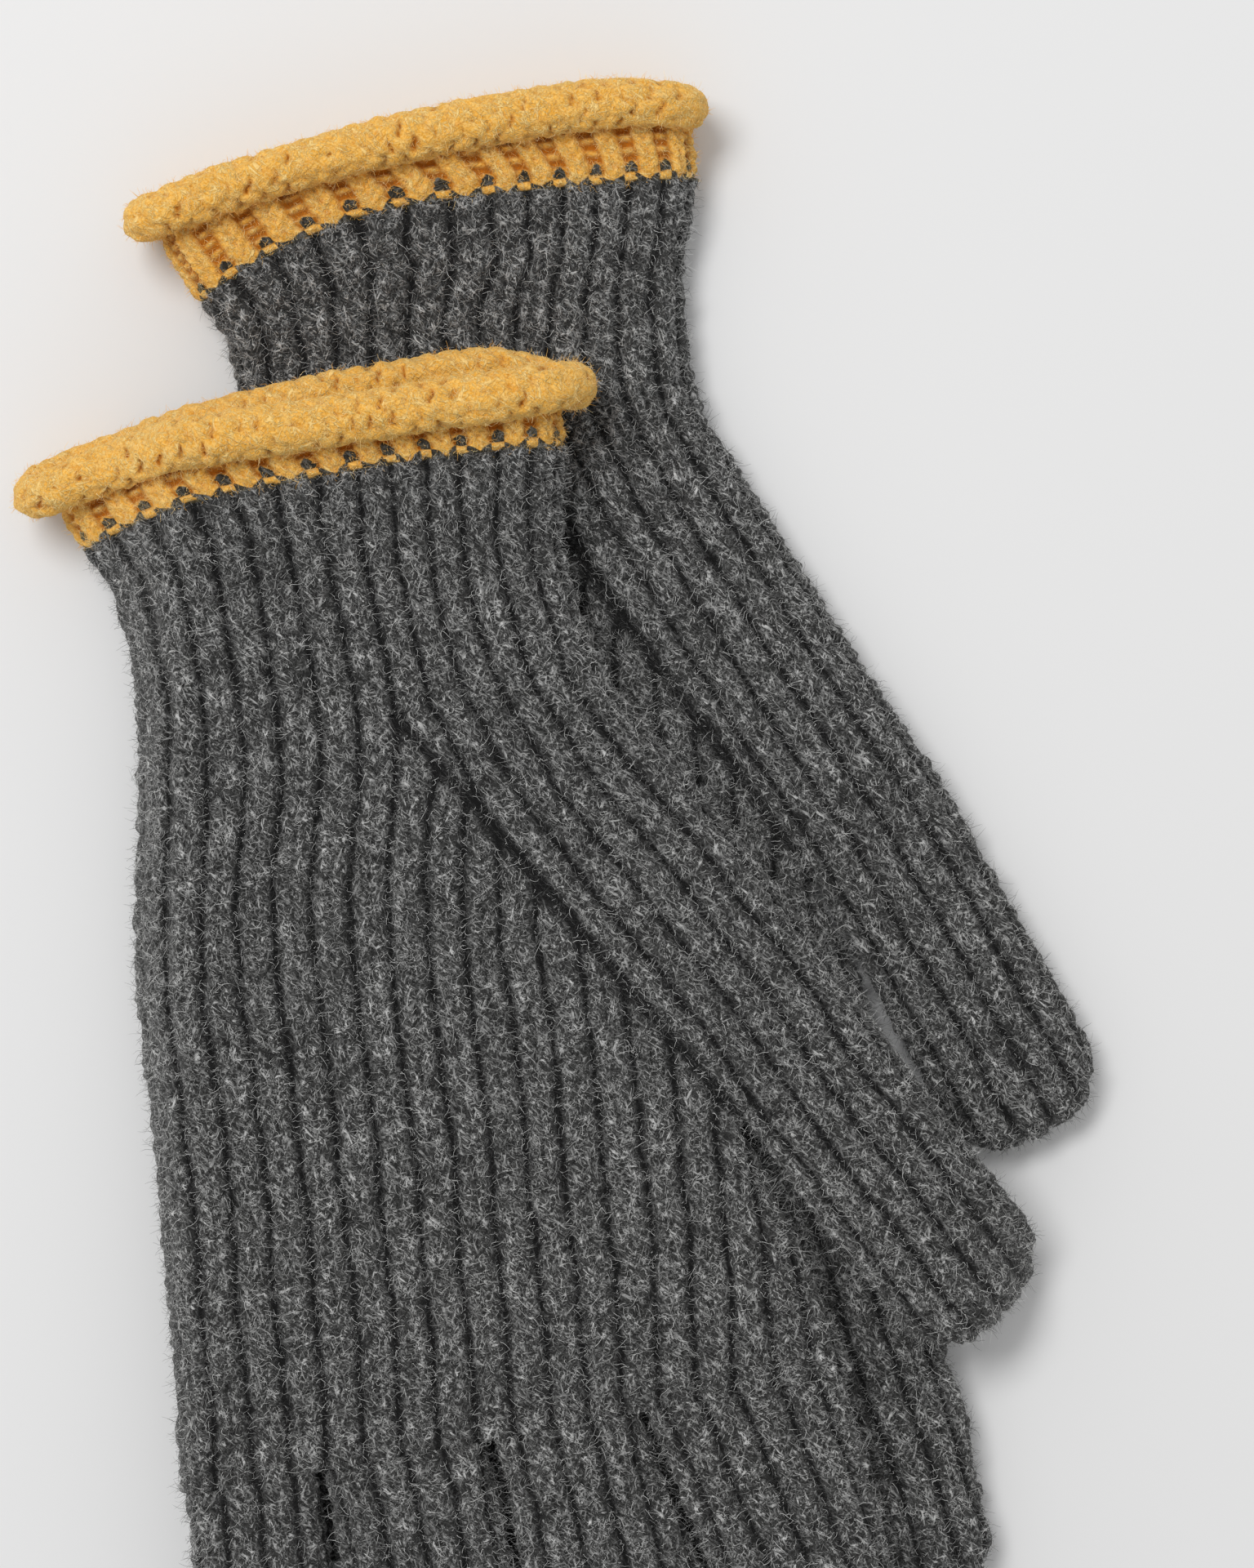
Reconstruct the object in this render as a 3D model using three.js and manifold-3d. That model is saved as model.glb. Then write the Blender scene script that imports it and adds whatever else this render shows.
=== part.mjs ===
// A pair of ribbed wool gloves lying flat, the left one palm up across the right one.
//
// Each glove is a flattened tube of knitted fabric: a rolled edge, a band in a contrast yarn, a
// wrist, a palm, a thumb gusset, and five digits closed at their tips. Every part is hollow, and
// the hollows join where the hand goes in. Millimetres; +Z is up from the table and -Y runs
// towards the fingertips. The origin is under the middle of the pair, on the table.

import * as THREE from 'three';
import Module from 'manifold-3d';

const wasm = await Module();
wasm.setup();

// Fabric and lay
const FABRIC = 2.6; // thickness of one layer of the knitted rib
const FLAT_HEIGHT = 11; // height of a glove lying flat, both layers and the air between
const MOUTH_HEIGHT = 16; // height of the mouth, which the roll props open
const MOUTH_RUN = 26; // how far in from the mouth the glove is back to its flat height
const GAP = 0.3; // clearance between neighbouring parts
const LAYER_GAP = 0.4; // clearance between the two gloves
const DRAPE_CLEAR = 4.5; // how far past the lower glove the upper one keeps its full height
const DRAPE_RUN = 20; // how far past the lower glove the upper one reaches the table

// Rolled edge
const ROLL_RADIUS = 4.2;
const ROLL_HALF_WIDTH = 48.9; // from the roll's middle to its outside
const ROLL_SHIFT = -1.9; // the roll's middle lies this far from the glove's
const ROLL_TOP_Z = 17.6; // height of the centre of the roll on the upper layer

// Distances along the glove, measured from its mouth towards the fingertips
const HAND_START = 46;
const CROTCH = { x: 47.5, s: 119.5 }; // where the thumb leaves the hand
const KNUCKLES = 163;

// The seam between palm and gusset runs straight from the wrist to the crotch
const GUSSET_START = { x: 4.9, s: HAND_START };

const THUMB_WIDTH = 27;

// Half-outlines of the hand, as [distance along the glove, x], joined by straight lines. The
// thumb's side and the mouth's end of the little finger's side are each glove's own.
const LITTLE_SIDE = [[68, -41.8], [107, -46.4], [146, -49.7], [KNUCKLES, -51.9]];
const INDEX_SIDE = [[110, 45], [120, 47.6], [152, 55.5], [KNUCKLES, 57.4]];

// Each finger: its two edges at the knuckles, its two edges FAN_RUN further on, and its length
const FAN_RUN = 32;
const FINGERS = {
  index_finger: { knuckle: [23.4, 57.4], fanned: [29.9, 59.0], length: 78 },
  middle_finger: { knuckle: [-1.4, 23.4], fanned: [-0.4, 29.9], length: 87 },
  ring_finger: { knuckle: [-29.2, -1.4], fanned: [-29.1, -0.4], length: 81 },
  little_finger: { knuckle: [-51.9, -29.2], fanned: [-54.2, -29.1], length: 61 },
};
const FINGER_GAP = 0.6;
const TIP_ROUND = 0.38; // radius of a fingertip's corners, as a share of its width
const TIP_HEIGHT = 0.45; // height of a digit at its very tip, as a share of its full height
const TIP_BLUNTNESS = 1.5; // the larger, the later the height falls off towards the tip
const TIP_STEPS = 3;

// The two gloves. thumbAngle is how far the thumb splays from the hand. rollTop and rollBottom
// are the distances along the glove of the roll's centre on the upper and the lower layer, and
// bandEnd is where the contrast yarn stops. bodySteps and digitSteps are how finely the length
// of a part is divided, and acrossSteps and digitAcross how finely a layer's width is.
const RIGHT_GLOVE = {
  side: 'right',
  x: 26,
  y: 41.7,
  turn: THREE.MathUtils.degToRad(-4),
  rollTop: -5.5,
  rollBottom: -7.5,
  bandEnd: 14,
  littleSide: [[-4, -44.8], [8, -44], [18, -39.8], [26, -35.8], [34, -34.8], [42, -35.6],
    ...LITTLE_SIDE],
  thumbSide: [[-4, 43.2], [6, 43.2], [14, 41.2], [22, 39], [38, 38.4], [46, 39.9], [52, 42.9],
    [107, 69.2], [120, 75.8]],
  thumbAngle: THREE.MathUtils.degToRad(23.5),
  thumbLength: 58.5,
  draped: false,
  bodySteps: 3,
  digitSteps: 2,
  acrossSteps: 3,
  digitAcross: 2,
};
const LEFT_GLOVE = {
  side: 'left',
  x: 0,
  y: 0,
  turn: 0,
  rollTop: 2.3,
  rollBottom: -6,
  bandEnd: 10.5,
  littleSide: [[-4, -43], [5, -42.5], [10, -40.4], [18, -37.2], [26, -36.4], [38, -36.4],
    ...LITTLE_SIDE],
  thumbSide: [[-4, 40], [6, 39.8], [12, 38.6], [24, 36.1], [36, 36.6], [46, 39], [98, 67.6],
    [120, 79]],
  thumbAngle: THREE.MathUtils.degToRad(27.3),
  thumbLength: 51.5,
  draped: true,
  bodySteps: 6,
  digitSteps: 7,
  acrossSteps: 8,
  digitAcross: 3,
};

// Where the right glove lies under the left one, its hand is taken as a tapered strip: each edge
// passes through x at the distance s along it, and spreads outwards by slope.
const UNDER_LITTLE_SIDE = { x: -37, s: 30, slope: 0.1 };
const UNDER_INDEX_SIDE = { x: 38, s: 35, slope: 0.145 };

// The upright cutters that part palm from gusset reach past the sleeve on every side.
const CUTTER_LOW = -5;
const CUTTER_HIGH = 30;
const CUTTER_REACH = 120;

const ARC_STEPS = 4; // divisions of a folded edge
const ROLL_PATH_STEPS = 10; // divisions of each straight stretch of the roll
const ROLL_SECTION_STEPS = 8;

const CHARCOAL = { color: 0x4d4d4b, roughness: 0.95, metalness: 0 };
const MUSTARD = { color: 0xd99a3c, roughness: 0.95, metalness: 0 };

const { lerp, smoothstep } = THREE.MathUtils;

// The value of a broken line at s
function along(line, s) {
  let i = 1;
  while (i < line.length - 1 && line[i][0] < s) i += 1;
  const [s0, x0] = line[i - 1];
  const [s1, x1] = line[i];
  return lerp(x0, x1, (s - s0) / (s1 - s0));
}

// Evenly spaced numbers from a to b, both included
function steps(a, b, count) {
  return Array.from({ length: count + 1 }, (_, i) => lerp(a, b, i / count));
}

function heightAt(s) {
  return lerp(MOUTH_HEIGHT, FLAT_HEIGHT, smoothstep(s, 0, MOUTH_RUN));
}

// A flattened section as points (x, z): two flat layers joined by folded edges.
function flatSection(x0, x1, z0, z1, across) {
  const radius = (z1 - z0) / 2;
  const middle = (z0 + z1) / 2;
  const points = [];
  for (const [edge, start] of [[x1 - radius, -Math.PI / 2], [x0 + radius, Math.PI / 2]]) {
    for (let i = 0; i <= ARC_STEPS; i += 1) {
      const angle = start + (Math.PI * i) / ARC_STEPS;
      points.push([edge + radius * Math.cos(angle), middle + radius * Math.sin(angle)]);
    }
    const far = start < 0 ? x0 + radius : x1 - radius;
    for (let i = 1; i < across; i += 1) {
      points.push([lerp(edge, far, i / across), start < 0 ? z1 : z0]);
    }
  }
  return points;
}

// Joins rings of equal length into one closed skin: wrapped end to end, or capped at both ends.
function loft(rings, wrapped) {
  const count = rings[0].length;
  const positions = rings.flat().flatMap((p) => [p.x, p.y, p.z]);
  const index = [];
  const last = wrapped ? rings.length : rings.length - 1;
  for (let r = 0; r < last; r += 1) {
    const next = (r + 1) % rings.length;
    for (let i = 0; i < count; i += 1) {
      const j = (i + 1) % count;
      const [a, b, c, d] = [r * count + i, r * count + j, next * count + i, next * count + j];
      index.push(a, b, d, a, d, c);
    }
  }
  if (!wrapped) {
    for (const r of [0, rings.length - 1]) {
      const centre = new THREE.Vector3();
      for (const p of rings[r]) centre.addScaledVector(p, 1 / count);
      const hub = positions.length / 3;
      positions.push(centre.x, centre.y, centre.z);
      for (let i = 0; i < count; i += 1) {
        const [a, b] = [r * count + i, r * count + ((i + 1) % count)];
        index.push(hub, ...(r === 0 ? [b, a] : [a, b]));
      }
    }
  }
  const geometry = new THREE.BufferGeometry();
  geometry.setAttribute('position', new THREE.Float32BufferAttribute(positions, 3));
  geometry.setIndex(index);
  return facingOut(geometry);
}

// Turns every triangle round if the skin faces inwards.
function facingOut(geometry) {
  const p = geometry.attributes.position;
  const index = geometry.index.array;
  const [a, b, c] = [new THREE.Vector3(), new THREE.Vector3(), new THREE.Vector3()];
  let volume = 0;
  for (let i = 0; i < index.length; i += 3) {
    a.fromBufferAttribute(p, index[i]);
    b.fromBufferAttribute(p, index[i + 1]);
    c.fromBufferAttribute(p, index[i + 2]);
    volume += a.dot(b.cross(c));
  }
  if (volume < 0) geometry.setIndex(Array.from(index).reverse());
  return geometry;
}

// A stretch of the hand: a hollow sleeve, open at both ends, between two edges. skew moves the
// start of the lower layer towards the mouth.
function sleeve(start, end, count, leftEdge, rightEdge, across, skew = 0) {
  const ring = (s, inset, pull) => {
    const height = heightAt(s);
    const [x0, x1] = [along(leftEdge, s) + inset, along(rightEdge, s) - inset];
    return flatSection(x0, x1, inset, height - inset, across).map(
      ([x, z]) => new THREE.Vector3(x, pull * (1 - z / height) - s, z),
    );
  };
  const stations = steps(start, end, count);
  const outer = stations.map((s, i) => ring(s, 0, i === 0 ? skew : 0));
  const inner = stations.map((s, i) => ring(s, FABRIC, i === 0 ? skew : 0)).reverse();
  return loft([...outer, ...inner], true);
}

// Rings along one surface of a digit, from its open base to its blunt, rounded tip. inset is
// zero on the outside and the fabric's thickness on the inside.
function digitRings(digit, glove, inset) {
  const length = digit.length - inset;
  const reach = TIP_ROUND * (digit.width - 2 * inset);
  const rings = [];
  const addRing = (t, narrowing, flattening) => {
    const [e0, e1] = digit.edges(t);
    const height = (FLAT_HEIGHT / 2 - inset) * flattening;
    const middle = FLAT_HEIGHT / 2;
    const section = flatSection(e0 + inset + narrowing, e1 - inset - narrowing,
      middle - height, middle + height, glove.digitAcross);
    rings.push(section.map(([x, z]) => digit.place(x, t, z)));
  };
  for (const t of steps(0, length - reach, glove.digitSteps)) addRing(t, 0, 1);
  for (let i = 1; i <= TIP_STEPS; i += 1) {
    const angle = (Math.PI / 2) * (i / TIP_STEPS);
    const flattening = lerp(1, TIP_HEIGHT, (1 - Math.cos(angle)) ** TIP_BLUNTNESS);
    addRing(length - reach + reach * Math.sin(angle), reach * (1 - Math.cos(angle)), flattening);
  }
  return rings;
}

// A hollow digit, open at its base and closed at its tip.
function digitShell(digit, glove) {
  const outer = digitRings(digit, glove, 0);
  const inner = digitRings(digit, glove, FABRIC).reverse();
  return loft([...inner, ...outer], false);
}

function finger({ knuckle, fanned, length }) {
  const edges = (t) => [
    lerp(knuckle[0], fanned[0], t / FAN_RUN) + FINGER_GAP / 2,
    lerp(knuckle[1], fanned[1], Math.min(t, FAN_RUN) / FAN_RUN)
      + (Math.max(t - FAN_RUN, 0) * (fanned[0] - knuckle[0])) / FAN_RUN - FINGER_GAP / 2,
  ];
  const width = fanned[1] - fanned[0] - FINGER_GAP;
  const place = (x, t, z) => new THREE.Vector3(x, -(KNUCKLES + GAP + t), z);
  return { edges, width, length, place };
}

// The thumb's base runs square across the end of the gusset, from the crotch outwards.
function thumb({ thumbAngle, thumbLength }) {
  const [sin, cos] = [Math.sin(thumbAngle), Math.cos(thumbAngle)];
  const place = (x, t, z) => new THREE.Vector3(
    CROTCH.x + GAP + x * cos + (t + GAP) * sin,
    -(CROTCH.s - x * sin + (t + GAP) * cos),
    z,
  );
  return { edges: () => [0, THUMB_WIDTH], width: THUMB_WIDTH, length: thumbLength, place };
}

// The rolled edge: a round section carried once round the mouth. It rests on the table on the
// lower layer, and stands clear of it by the mouth's gap on the upper one.
function rolledEdge(glove) {
  const half = ROLL_HALF_WIDTH - ROLL_RADIUS;
  const bend = (ROLL_TOP_Z - ROLL_RADIUS) / 2;
  const middle = ROLL_RADIUS + bend;
  const path = [];
  for (const side of [1, -1]) {
    for (let i = 0; i < ROLL_PATH_STEPS; i += 1) {
      const x = side * lerp(-1, 1, i / ROLL_PATH_STEPS) * (half - bend);
      path.push({ x: ROLL_SHIFT - x, z: side * bend, out: [0, side] });
    }
    for (let i = 0; i < ARC_STEPS * 2; i += 1) {
      const angle = (Math.PI * i) / (ARC_STEPS * 2);
      const out = [-side * Math.sin(angle), side * Math.cos(angle)];
      const x = ROLL_SHIFT - side * (half - bend) + bend * out[0];
      path.push({ x, z: bend * out[1], out });
    }
  }
  const rings = path.map(({ x, z, out }) => {
    const y = -lerp(glove.rollBottom, glove.rollTop, (z / bend + 1) / 2);
    return Array.from({ length: ROLL_SECTION_STEPS }, (_, i) => {
      const angle = (2 * Math.PI * i) / ROLL_SECTION_STEPS;
      const away = ROLL_RADIUS * Math.cos(angle);
      return new THREE.Vector3(
        x + away * out[0],
        y + ROLL_RADIUS * Math.sin(angle),
        middle + z + away * out[1],
      );
    });
  });
  return loft(rings, true);
}

function toSolid(geometry) {
  return new wasm.Manifold(new wasm.Mesh({
    numProp: 3,
    vertProperties: Float32Array.from(geometry.attributes.position.array),
    triVerts: Uint32Array.from(geometry.index.array),
  }));
}

function toGeometry(solid) {
  const mesh = solid.getMesh();
  const geometry = new THREE.BufferGeometry();
  geometry.setAttribute('position', new THREE.BufferAttribute(mesh.vertProperties, 3));
  geometry.setIndex(new THREE.BufferAttribute(mesh.triVerts, 1));
  return geometry;
}

// An upright prism over an outline of [x, distance along the glove] corners
function prism(corners) {
  const lowRing = corners.map(([x, s]) => new THREE.Vector3(x, -s, CUTTER_LOW));
  const highRing = corners.map(([x, s]) => new THREE.Vector3(x, -s, CUTTER_HIGH));
  return toSolid(loft([lowRing, highRing], false));
}

// The palm and the gusset are cut from one sleeve along the seam, so their hollows join. The
// palm then carries on alone, from the crotch to the knuckles.
function palmAndGusset(glove) {
  const whole = toSolid(sleeve(HAND_START + GAP, CROTCH.s, glove.bodySteps, glove.littleSide,
    glove.thumbSide, glove.acrossSteps));
  const upper = toSolid(sleeve(CROTCH.s - GAP, KNUCKLES, glove.bodySteps, glove.littleSide,
    INDEX_SIDE, glove.acrossSteps));
  const far = KNUCKLES + CUTTER_REACH;
  const palmSide = prism([[-CUTTER_REACH, 0], [GUSSET_START.x, 0],
    [GUSSET_START.x, GUSSET_START.s], [CROTCH.x, CROTCH.s], [CROTCH.x, far],
    [-CUTTER_REACH, far]]);
  const [sin, cos] = [Math.sin(glove.thumbAngle), Math.cos(glove.thumbAngle)];
  const baseEnd = [CROTCH.x + CUTTER_REACH * cos, CROTCH.s - CUTTER_REACH * sin];
  const thumbSide = prism([[GUSSET_START.x + GAP, 0], [GUSSET_START.x + GAP, GUSSET_START.s],
    [CROTCH.x + GAP, CROTCH.s], baseEnd, [baseEnd[0], 0]]);
  return {
    palm: toGeometry(whole.intersect(palmSide).add(upper)),
    thumb_gusset: toGeometry(whole.intersect(thumbSide)),
  };
}

// How high the right glove lifts the left one at a point: its full height over the glove, and
// falling smoothly to nothing past its edges. The right glove is taken as a tapered hand with
// a straight line across its fingertips, and a bar for its thumb.
function liftAt(x, y) {
  const { turn, thumbAngle, thumbLength } = RIGHT_GLOVE;
  const [dx, dy] = [x - RIGHT_GLOVE.x, y - RIGHT_GLOVE.y];
  const across = dx * Math.cos(turn) + dy * Math.sin(turn);
  const s = dx * Math.sin(turn) - dy * Math.cos(turn);
  const little = UNDER_LITTLE_SIDE;
  const index = UNDER_INDEX_SIDE;
  const pastLittle = little.x - little.slope * (s - little.s) - across;
  const pastIndex = across - index.x - index.slope * (s - index.s);
  const pastTips = s - KNUCKLES - FINGERS.middle_finger.length;
  const pastHand = Math.max(pastLittle, pastIndex, pastTips);
  const [sin, cos] = [Math.sin(thumbAngle), Math.cos(thumbAngle)];
  const fromCrotch = [across - CROTCH.x, s - CROTCH.s];
  const thumbwards = fromCrotch[0] * sin + fromCrotch[1] * cos;
  const outwards = fromCrotch[0] * cos - fromCrotch[1] * sin;
  const pastThumb = Math.max(-outwards, outwards - THUMB_WIDTH, thumbwards - thumbLength);
  const past = Math.min(pastHand, pastThumb);
  return (FLAT_HEIGHT + LAYER_GAP) * (1 - smoothstep(past, DRAPE_CLEAR, DRAPE_RUN));
}

// Raises every point of a part of the draped glove by the lift under it.
function drape(geometry) {
  const p = geometry.attributes.position;
  for (let i = 0; i < p.count; i += 1) {
    p.setZ(i, p.getZ(i) + liftAt(p.getX(i), p.getY(i)));
  }
  return geometry;
}

// One glove as a group of named meshes
function buildGlove(glove) {
  const group = new THREE.Group();
  group.position.set(glove.x, glove.y, 0);
  group.rotation.z = glove.turn;
  const add = (name, geometry, finish) => {
    const shape = glove.draped ? drape(geometry) : geometry;
    const faceted = shape.toNonIndexed();
    faceted.computeVertexNormals();
    const mesh = new THREE.Mesh(faceted, new THREE.MeshStandardMaterial(finish));
    mesh.name = `${glove.side}_${name}`;
    group.add(mesh);
  };
  const bandStart = glove.rollTop + ROLL_RADIUS + GAP;
  const skew = glove.rollTop - glove.rollBottom;
  add('rolled_edge', rolledEdge(glove), MUSTARD);
  add('contrast_band', sleeve(bandStart, glove.bandEnd, 1, glove.littleSide, glove.thumbSide,
    glove.acrossSteps, skew), MUSTARD);
  add('wrist', sleeve(glove.bandEnd + GAP, HAND_START, Math.ceil(glove.bodySteps / 2) + 1,
    glove.littleSide, glove.thumbSide, glove.acrossSteps), CHARCOAL);
  for (const [name, geometry] of Object.entries(palmAndGusset(glove))) {
    add(name, geometry, CHARCOAL);
  }
  add('thumb', digitShell(thumb(glove), glove), CHARCOAL);
  for (const [name, shape] of Object.entries(FINGERS)) {
    add(name, digitShell(finger(shape), glove), CHARCOAL);
  }
  return group;
}

const pair = new THREE.Group();
pair.add(buildGlove(RIGHT_GLOVE), buildGlove(LEFT_GLOVE));
pair.updateMatrixWorld(true);

// The origin goes under the middle of the pair.
const middle = new THREE.Box3().setFromObject(pair, true).getCenter(new THREE.Vector3());
pair.position.set(-middle.x, -middle.y, 0);

export default pair;
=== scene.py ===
import itertools
import math

import bmesh
import bpy
import numpy as np
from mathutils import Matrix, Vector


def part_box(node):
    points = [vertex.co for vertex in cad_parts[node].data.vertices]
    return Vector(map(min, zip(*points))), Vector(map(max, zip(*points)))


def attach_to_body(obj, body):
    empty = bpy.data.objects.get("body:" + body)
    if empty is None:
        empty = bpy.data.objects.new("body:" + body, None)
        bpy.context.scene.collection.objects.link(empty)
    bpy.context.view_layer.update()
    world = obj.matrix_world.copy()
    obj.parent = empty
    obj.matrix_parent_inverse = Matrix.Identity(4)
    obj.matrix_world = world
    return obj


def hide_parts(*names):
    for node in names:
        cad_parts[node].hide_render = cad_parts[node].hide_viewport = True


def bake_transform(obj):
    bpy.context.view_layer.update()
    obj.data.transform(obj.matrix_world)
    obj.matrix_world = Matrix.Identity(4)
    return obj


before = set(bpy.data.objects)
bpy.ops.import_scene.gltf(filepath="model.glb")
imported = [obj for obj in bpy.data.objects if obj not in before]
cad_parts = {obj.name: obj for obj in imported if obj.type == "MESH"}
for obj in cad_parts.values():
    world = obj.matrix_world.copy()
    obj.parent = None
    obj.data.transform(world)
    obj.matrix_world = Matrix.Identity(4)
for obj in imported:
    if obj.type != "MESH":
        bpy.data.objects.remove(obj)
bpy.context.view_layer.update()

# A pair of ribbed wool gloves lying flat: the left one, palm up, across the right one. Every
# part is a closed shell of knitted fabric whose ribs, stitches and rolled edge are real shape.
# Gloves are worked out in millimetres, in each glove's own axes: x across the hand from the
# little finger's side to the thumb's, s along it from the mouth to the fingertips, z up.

MM = 0.001

# ---- The shape of a glove, as in the CAD model -----------------------------------------------
FABRIC = 2.6
FLAT_HEIGHT = 11.0
MOUTH_HEIGHT = 16.0
MOUTH_RUN = 26.0
LAYER_GAP = 0.4
DRAPE_CLEAR = 4.5
DRAPE_RUN = 20.0
ROLL_RADIUS = 4.2
ROLL_HALF_WIDTH = 48.9
ROLL_SHIFT = -1.9
ROLL_TOP_Z = 17.6
HAND_START = 46.0
HAND_END = 163.0
KNUCKLES = 163.15  # where the fingers' knit takes over from the palm's
CROTCH = (47.5, 119.5)  # x and s of the corner between the thumb and the palm
GUSSET_START = (4.9, HAND_START)
GUSSET_RUN = 78.0  # of fabric between the wrist and the thumb's base
THUMB_WIDTH = 26.0
# The hand's two sides, as (s, x):
LITTLE_SIDE = ((58, -40.1), (70, -43), (84, -45.1), (107, -46.4), (146, -49.7), (163, -51.9))
INDEX_SIDE = ((110, 45), (120, 47.6), (152, 55.5), (163, 57.4))
RIGHT_INDEX_BULGE = 2.2  # the right glove's index finger lies this much wider
FAN_RUN = 32.0
# Each finger's two edges at the knuckles, the same once fanned out, and its length:
FINGERS = {
    "index_finger": ((23.4, 57.4), (29.9, 59.0), 78.0),
    "middle_finger": ((-1.4, 23.4), (-0.4, 29.9), 87.0),
    "ring_finger": ((-29.2, -1.4), (-29.1, -0.4), 81.0),
    "little_finger": ((-51.9, -29.2), (-54.2, -29.1), 61.0),
}
FINGER_GAP = 1.6
TIP_ROUND = 0.38
TIP_HEIGHT = 0.45
TIP_BLUNTNESS = 1.5
# The lines that the left glove drapes over, along the right one's sides: x, s and slope.
UNDER_LITTLE_SIDE = (-37.0, 30.0, 0.1)
UNDER_INDEX_SIDE = (38.0, 35.0, 0.145)
RIGHT_PLACE = (26.0, 41.7, math.radians(-4))  # from the left glove: across, along and turned
BAND_END = 10.5  # of the left glove's contrast yarn
BAND_ROWS = (0.0, 9.0)  # where the band starts and ends, before it is fitted to the roll
# What differs between the gloves, with each one's outlines as (s, x):
SIDES = {
    "right": {
        "thumb_angle": math.radians(22.9),
        "thumb_length": 58.5,
        "little": ((-12, -45.8), (4.2, -45.8), (6.6, -44.1), (8, -44), (18, -39.8), (26, -35.8),
                   (34, -34.8), (42, -35.6), *LITTLE_SIDE),
        "thumb": ((-12, 43.2), (6, 43.2), (14, 41.2), (22, 39), (38, 38.4), (46, 39.9),
                  (52, 42.9), (107, 69.2), (120, 75.8)),
    },
    "left": {
        "thumb_angle": math.radians(27.3),
        "thumb_length": 51.5,
        "little": ((-12, -45.4), (0, -45.4), (2.6, -42.8), (5, -42.5), (10, -40.4), (18, -37.2),
                   (26, -36.4), (38, -36.4), *LITTLE_SIDE),
        "thumb": ((-12, 42.2), (0.3, 42.2), (2.8, 40), (6, 39.8), (12, 38.6), (24, 36.1),
                  (36, 36.6), (46, 39), (98, 67.6), (120, 79)),
    },
}

# ---- The knit --------------------------------------------------------------------------------
RIB_PITCH = 6.05
PALM_START_PITCH = 6.12
GUSSET_START_PITCH = 5.72
THUMB_PITCH = 5.85
FOLD = 3.14  # of fabric round a fold in the hand, beyond the flat width
FOLD_SHARE = 0.285  # the same as a share of the height, in the cuff
COURSE = 2.75
BAND_COURSE = 2.1
ROLL_STITCH = 3.9  # along the rolled edge
ROLL_ROWS = 8  # round its section
SEAM_RIB = 8.0  # rib number at the seam between palm and gusset
EDGE_RIB = 14.5  # rib number at the fold on the thumb's side
GRAIN = 0.5  # spacing of the charcoal surface's points
FINE_GRAIN = 0.4  # and of the contrast yarn's
COARSE = 5  # the inside has one point for this many outside
RELIEF = 2.0  # from the deepest groove to the highest stitch
PROUD = 0.7  # how far the highest stitches stand out from the plain shape
ROLL_RELIEF = 1.6
ROLL_PROUD = 0.45


def smoothstep(v, low, high):
    t = np.clip((v - low) / (high - low), 0.0, 1.0)
    return t * t * (3 - 2 * t)


def lerp(a, b, t):
    return a + (b - a) * t


def along(line, s):
    """The value of a broken line at s."""
    return np.interp(s, [p[0] for p in line], [p[1] for p in line])


def hashed(*cells):
    """A number from 0 to 1 that looks random, the same each time for the same whole numbers."""
    h = np.zeros(np.broadcast(*cells).shape, np.uint32)
    for c in cells:
        h = h ^ np.asarray(c).astype(np.int64).astype(np.uint32)
        h = (h ^ (h >> np.uint32(16))) * np.uint32(0x7FEB352D)
        h = (h ^ (h >> np.uint32(15))) * np.uint32(0x846CA68B)
        h = h ^ (h >> np.uint32(16))
    return h.astype(np.float64) / 2**32


def noise(x, y, z, size, seed):
    """Smooth noise from -1 to 1, with features of that size."""
    cells = [np.floor(v / size) for v in (x, y, z)]
    parts = [v / size - c for v, c in zip((x, y, z), cells)]
    parts = [p * p * (3 - 2 * p) for p in parts]
    total = 0.0
    for corner in itertools.product((0, 1), repeat=3):
        weight = 1.0
        for part, at in zip(parts, corner):
            weight = weight * (part if at else 1 - part)
        total = total + weight * hashed(*[c + at for c, at in zip(cells, corner)], seed)
    return 2 * total - 1


def stitches(rib, course, width, slope, bars, seed):
    """Height, 0 to 1, of V-shaped knit stitches in raised columns, and of the purl bars in the
    hollows between them. width is how much of the rib's pitch the column takes, slope how many
    courses a stitch's leg climbs, and bars how high the purl bars stand."""
    column = np.floor(rib)
    across = 2 * (rib - column) - 1
    off = np.abs(across)
    row = course + slope * off
    number = np.floor(row)
    vary = hashed(column, number, across > 0, seed)
    leg = row - number - 0.5
    lobe = np.sqrt(np.clip(1 - (1.9 * leg) ** 2, 0, 1))
    swell = np.clip(1 - np.abs(off / width) ** 2.6, 0, 1) ** 0.8
    crease = 1 - 0.34 * np.exp(-((off / 0.13) ** 2))
    column_height = swell * crease * (0.38 + 0.62 * lobe) * (0.80 + 0.20 * vary)
    bar = 0.5 + 0.5 * np.cos(2 * np.pi * (course + 0.25))
    hollow = bars * bar * np.clip(1 - ((1 - off) / (1.15 - width)) ** 2, 0, 1)
    return np.maximum(column_height, hollow)


def charcoal_height(rib, course, x, s, z, seed):
    """Brushed rib: the stitches are there, but felting rounds and blurs them."""
    rib = rib + 0.10 * noise(x, s, z, 17, seed) + 0.075 * noise(x, s, z, 4.5, seed + 1)
    course = course + 0.45 * noise(x, s, z, 7, seed + 2)
    height = stitches(rib, course, 0.95, 1.4, 0.25, seed)
    lumps = 0.6 * noise(x, s, z, 2.4, seed + 3) + 0.4 * noise(x, s, z, 1.2, seed + 4)
    return np.clip(height + 0.34 * lumps * (0.35 + height), 0, 1.2)


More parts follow.
